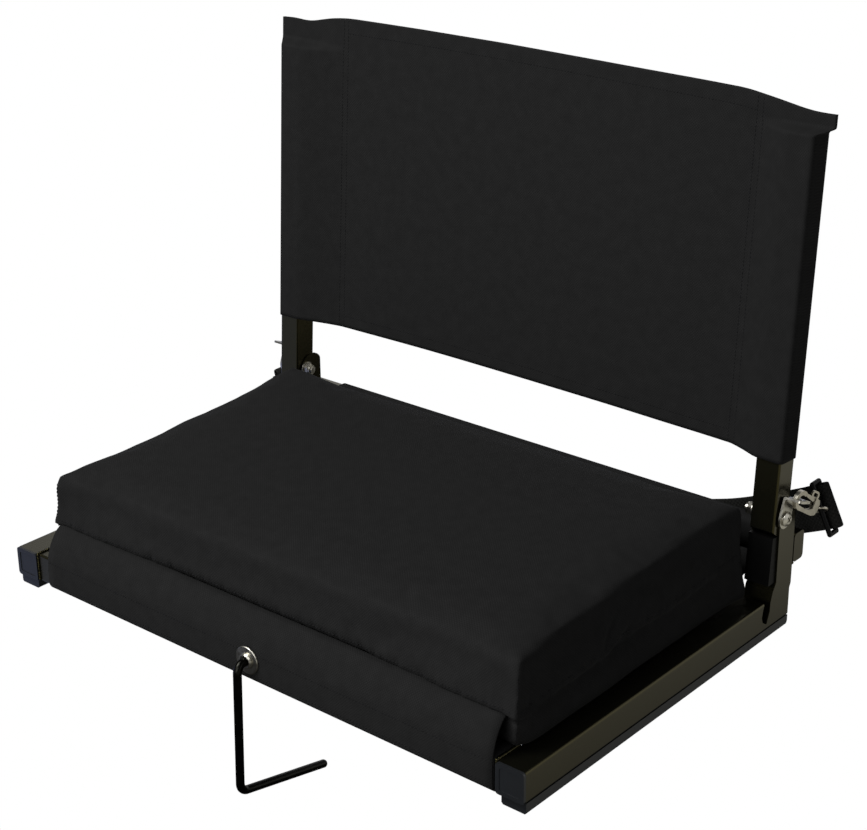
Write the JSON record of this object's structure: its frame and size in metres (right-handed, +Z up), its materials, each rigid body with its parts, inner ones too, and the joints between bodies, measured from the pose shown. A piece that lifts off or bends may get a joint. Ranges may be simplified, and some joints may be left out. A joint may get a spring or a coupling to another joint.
{
  "type": "bleacher chair",
  "caption": "Folding bleacher chair with a boxed black cushion, fabric back on square posts, sprung bench hook and clip-on carry strap.",
  "frame": {"origin": "middle of the plane that the two skid strips rest on, midway between the side rails and along their length", "axes": "+X to the sitter's left (the right side in a view from the front), +Y to the rear, +Z up, away from the bench"},
  "size_m": [0.607, 0.4202, 0.5508],
  "materials": {
    "powder_coat": "satin black powder coat",
    "black_plastic": "fine matt grain",
    "zinc_steel": "bright zinc plate",
    "black_steel": "thin black coat on drawn bar",
    "nickel": "dull nickel plate",
    "spring_steel": "plain drawn wire",
    "woven_black": "coated plain weave",
    "webbing": "flat woven webbing"
  },
  "bodies": {
    "frame": {"side_rail_left": "powder_coat", "side_rail_right": "powder_coat", "rail_plug_left": "black_plastic", "rail_plug_right": "black_plastic", "skid_strip_left": "black_plastic", "skid_strip_right": "black_plastic", "front_cross_tube": "powder_coat", "rear_cross_tube": "powder_coat", "back_stop_left": "black_plastic", "back_stop_right": "black_plastic", "hinge_bolt_left": "zinc_steel", "hinge_bolt_right": "zinc_steel", "hinge_nut_left": "zinc_steel", "hinge_nut_right": "zinc_steel", "strap_tab_left": "nickel", "strap_tab_right": "nickel", "seat_sling": "woven_black", "cushion_skirt": "woven_black", "seat_cushion": "woven_black", "hook_grommet": "zinc_steel", "spring_seat": "zinc_steel", "hook_spring": "spring_steel"},
    "back": {"back_upright_left": "powder_coat", "back_upright_right": "powder_coat", "upright_cap_left": "black_plastic", "upright_cap_right": "black_plastic", "back_panel": "woven_black"},
    "hook_slider": {"thrust_washer": "zinc_steel"},
    "hook": {"bench_hook": "black_steel", "hook_nut": "zinc_steel"},
    "strap": {"snap_body_left": "nickel", "snap_body_right": "nickel", "snap_swivel_left": "nickel", "snap_swivel_right": "nickel", "strap_ring_left": "black_plastic", "strap_ring_right": "black_plastic", "carry_strap": "webbing"},
    "gate_left": {"snap_gate_left": "nickel"},
    "gate_right": {"snap_gate_right": "nickel"}
  },
  "joints": [
    {"name": "back_fold", "type": "hinge", "parent": "frame", "child": "back", "pos_m": [0, 0.15954, 0.103], "axis": [1, 0, 0], "range_deg": [0, 78], "deforming": ["seat_cushion"]},
    {"name": "hook_pull", "type": "slide", "parent": "frame", "child": "hook_slider", "axis": [0, -1, 0], "range_m": [0, 0.025], "stiffness_N_per_m": 3000, "springref_m": -0.01, "deforming": ["hook_spring"]},
    {"name": "hook_swivel", "type": "hinge", "parent": "hook_slider", "child": "hook", "pos_m": [0.007, -0.1458, 0.0265], "axis": [0, 1, 0], "range_deg": [-75, 75]},
    {"name": "strap_swing", "type": "hinge", "parent": "frame", "child": "strap", "pos_m": [0, 0.17076, 0.11701], "axis": [1, 0, 0], "range_deg": [0, 65]},
    {"name": "snap_gate_left", "type": "hinge", "parent": "strap", "child": "gate_left", "pos_m": [-0.28548, 0.18245, 0.09811], "axis": [0.9781, 0.2079, 0], "range_deg": [0, 20], "stiffness_Nm_per_rad": 0.02, "springref_deg": -17.19},
    {"name": "snap_gate_right", "type": "hinge", "parent": "strap", "child": "gate_right", "pos_m": [0.28532, 0.1914, 0.10874], "axis": [0.9938, -0.1115, 0], "range_deg": [0, 20], "stiffness_Nm_per_rad": 0.02, "springref_deg": -17.19}
  ]
}
